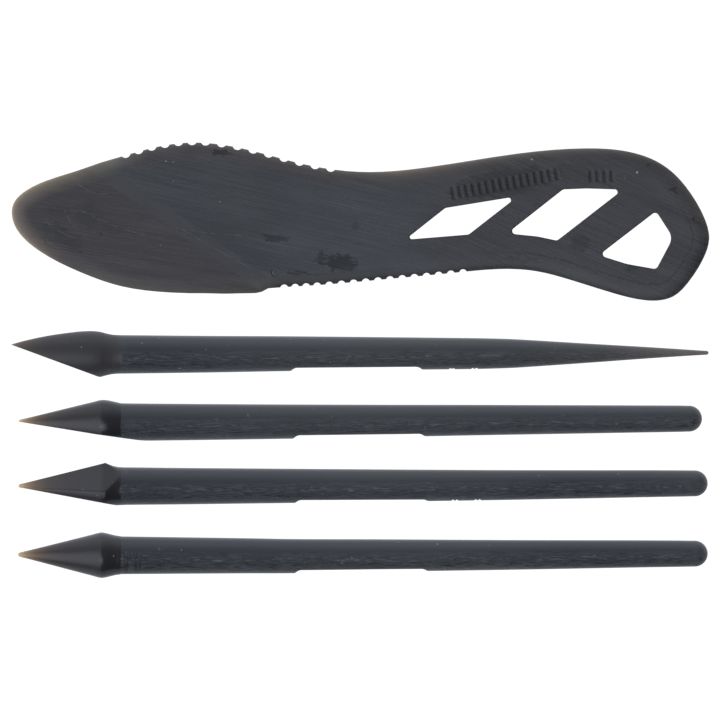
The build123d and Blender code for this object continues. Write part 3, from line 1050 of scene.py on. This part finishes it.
def pen_material():
    """Black nylon: plain heads, shafts with drawn-out fibres shown as painted highlight streaks,
    collars with painted shade, and tips with painted brown light.
    """
    material, g = new_material("pen nylon")
    along, side, rise = g.attribute("along"), g.attribute("side"), g.attribute("rise")
    collar = g.attribute("collar")
    # Each pen has its own stretch of the grain.
    run = g.math("ADD", along, g.attribute("shift"))
    place = g.vector(run, side, rise)
    shaft = g.step(along, 28.6, 29.2)

    fibre = g.noise(
        g.vector(g.product(run, 0.3), g.product(side, 3.4), g.product(rise, 3.4)), 1.0, 5, 0.68
    )
    patch = g.noise(
        g.vector(g.product(run, 0.09), g.product(side, 0.6), g.product(rise, 0.6)), 1.0, 3, 0.6
    )
    rings = g.noise(
        g.vector(g.product(run, 2.6), g.product(side, 0.2), g.product(rise, 0.2)), 1.0, 2, 0.5
    )
    grain = g.noise(place, 2.5, 3, 0.65)
    # Side of the shaft that the light strip reaches: real fibres, drawn there as painted light and
    # dark highlight streaks.
    fibre_and_sheen_side = g.product(g.step(side, 1.6, -0.8), g.step(side, -4.4, -2.6, 0.4, 1.0))
    fibres = g.step(fibre, 0.42, 0.58)
    patches = g.step(patch, 0.45, 0.6)
    turning_marks = g.product(
        g.step(rings, 0.5, 0.6), g.step(side, 2.0, -0.5), g.step(along, 29.4, 30.0),
        g.step(along, 38.0, 33.0), g.attribute("turned"),
    )
    streaks = g.math("ADD", g.product(g.minus(fibres, 0.5), fibre_and_sheen_side, shaft), 0.5)
    mottle = g.product(g.minus(grain, 0.5), g.minus(1.0, shaft), 0.9)
    tone = g.math("ADD", streaks, mottle)
    base = g.mix(shaft, g.mix(tone, *HEAD), g.mix(tone, *SHAFT))
    base = g.over(base, PATCH, patches, fibre_and_sheen_side, shaft, 0.45)
    # Where the nylon is thin or was lit harder it looks paler.
    base = g.over(base, LIT, g.attribute("light"), 0.35)
    base = g.over(base, TURNED, turning_marks, 0.9)
    # Painted shade on the polished collar, where its gloss turns away from the lights.
    base = g.over(base, COLLAR_SHADE, collar, 0.68)
    # Painted brown light glowing through the thin tips and butt ends.
    near_tip = g.attribute("thin_glow")
    glow = g.mix(g.step(near_tip, 0.0, 0.6, kind="LINEAR"), NEAR_GLOW, TIP_GLOW)
    base = g.over(base, glow, near_tip)
    specks = g.math("MAXIMUM", dust(g, place, 3.2, 0.26, 0.035), dust(g, place, 1.5, 0.05, 0.06))
    base = g.over(base, (0.30, 0.30, 0.30), specks)
    base = g.over(base, (0.17, 0.17, 0.17), hairs(g, place))

    rough = g.total(0.27, g.attribute("dull"), g.product(patches, -0.05), g.product(collar, -0.1))
    height = g.total(
        g.product(fibres, fibre_and_sheen_side, shaft, 0.8), g.product(grain, 0.25), g.product(turning_marks, -0.6)
    )
    finish_material(g, base, rough, height, strength=1.0, distance=0.00008)
    return material


# ---- studio
FLOOR_HALF, FLOOR_DROP, FLOOR_GLOW = 3.0, 0.0004, 1.08


def make_floor():
    """Plain white surface under the tools."""
    bm = bmesh.new()
    bmesh.ops.create_grid(bm, x_segments=2, y_segments=2, size=FLOOR_HALF)
    mesh = bpy.data.meshes.new("floor")
    bm.to_mesh(mesh)
    bm.free()
    floor = bpy.data.objects.new("floor", mesh)
    floor.location.z = -FLOOR_DROP
    floor.visible_glossy = False
    bpy.context.scene.collection.objects.link(floor)
    material, g = new_material("white floor")
    speckle = g.noise(g.node("TexCoord").outputs["Object"], 40.0, 2, 0.5)
    shade = g.mix(speckle, (0.98, 0.98, 0.98), (1.0, 1.0, 1.0))
    glow = g.node("Emission", {"Color": shade, "Strength": FLOOR_GLOW})
    g.node("OutputMaterial", {"Surface": glow.outputs[0]})
    mesh.materials.append(material)


STUDIO_COLOR = (0.94, 1.0, 1.1, 1)
SIDE_LIGHT = (-0.545, -0.311, 0.778)  # towards the main light
SIDE_LIGHT_EDGE, SIDE_LIGHT_HEART, SIDE_LIGHT_LEVEL = 0.669, 0.99, 1.1
OVERHEAD, FAR_SIDE, RIGHT_LOSS, NEAR_LOSS = 0.44, 0.84, -0.16, 0.2
BELOW, BELOW_FAR = 0.6, 0.5
STRIP_LEVEL = 0.9


def make_world():
    """Soft studio surroundings: a large light on the left and near side, dark to the right."""
    world = bpy.data.worlds.new("studio")
    bpy.context.scene.world = world
    world.use_nodes = True
    g = Graph(world.node_tree)
    way = g.node("TexCoord").outputs["Generated"]
    parts = g.node("SeparateXYZ", {0: way})
    x, y, z = parts.outputs[0], parts.outputs[1], parts.outputs[2]
    level = g.total(
        OVERHEAD,
        g.product(g.math("POWER", g.math("MAXIMUM", y, 0.0), 3.0), FAR_SIDE),
        g.product(g.math("MAXIMUM", x, 0.0), RIGHT_LOSS),
        g.product(g.math("MINIMUM", y, 0.0), NEAR_LOSS),
    )
    towards = g.node("VectorMath", {0: way, 1: SIDE_LIGHT}, operation="DOT_PRODUCT")
    towards = towards.outputs["Value"]
    side_light = g.step(towards, SIDE_LIGHT_EDGE, SIDE_LIGHT_HEART, 0.0, SIDE_LIGHT_LEVEL)
    # A narrow strip on the near side shows along the shafts only.
    strip = g.product(
        g.step(y, -0.85, -0.5), g.step(y, -0.02, -0.34), g.step(x, 0.3, 0.08),
        g.step(x, -0.45, -0.15), STRIP_LEVEL,
    )
    level = g.total(level, side_light, strip)
    table = g.total(BELOW, g.product(g.math("MAXIMUM", y, 0.0), BELOW_FAR))
    up = g.step(z, -0.03, 0.03)
    level = g.total(g.product(level, up), g.product(table, g.minus(1.0, up)))
    glow = g.node("Background", {"Color": STUDIO_COLOR, "Strength": level})
    g.node("OutputWorld", {"Surface": glow.outputs[0]})


CAMERA_HEIGHT, VIEW_WIDTH, LOOK_LEVEL = 4.0, 0.1899, 0.003
OFF_MIDDLE = (-0.00012, 0.00009)


def make_camera():
    """Long lens straight above the middle of the row."""
    camera = bpy.data.cameras.new("camera")
    camera.sensor_width = 36.0
    camera.lens = camera.sensor_width * CAMERA_HEIGHT / VIEW_WIDTH
    camera.clip_start, camera.clip_end = 0.05, 50.0
    holder = bpy.data.objects.new("camera", camera)
    low, high = cad_box
    middle = (Vector(low) + Vector(high)) / 2
    x, y = middle.x + OFF_MIDDLE[0], middle.y + OFF_MIDDLE[1]
    holder.location = (x, y, LOOK_LEVEL + CAMERA_HEIGHT)
    bpy.context.scene.collection.objects.link(holder)
    bpy.context.scene.camera = holder


# ---- scene
make_paddle(paddle_material())
pen_nylon = pen_material()
for node in PENS:
    make_pen(node, pen_nylon)
make_floor()
make_world()
make_camera()
bpy.context.scene.view_settings.view_transform = "Standard"
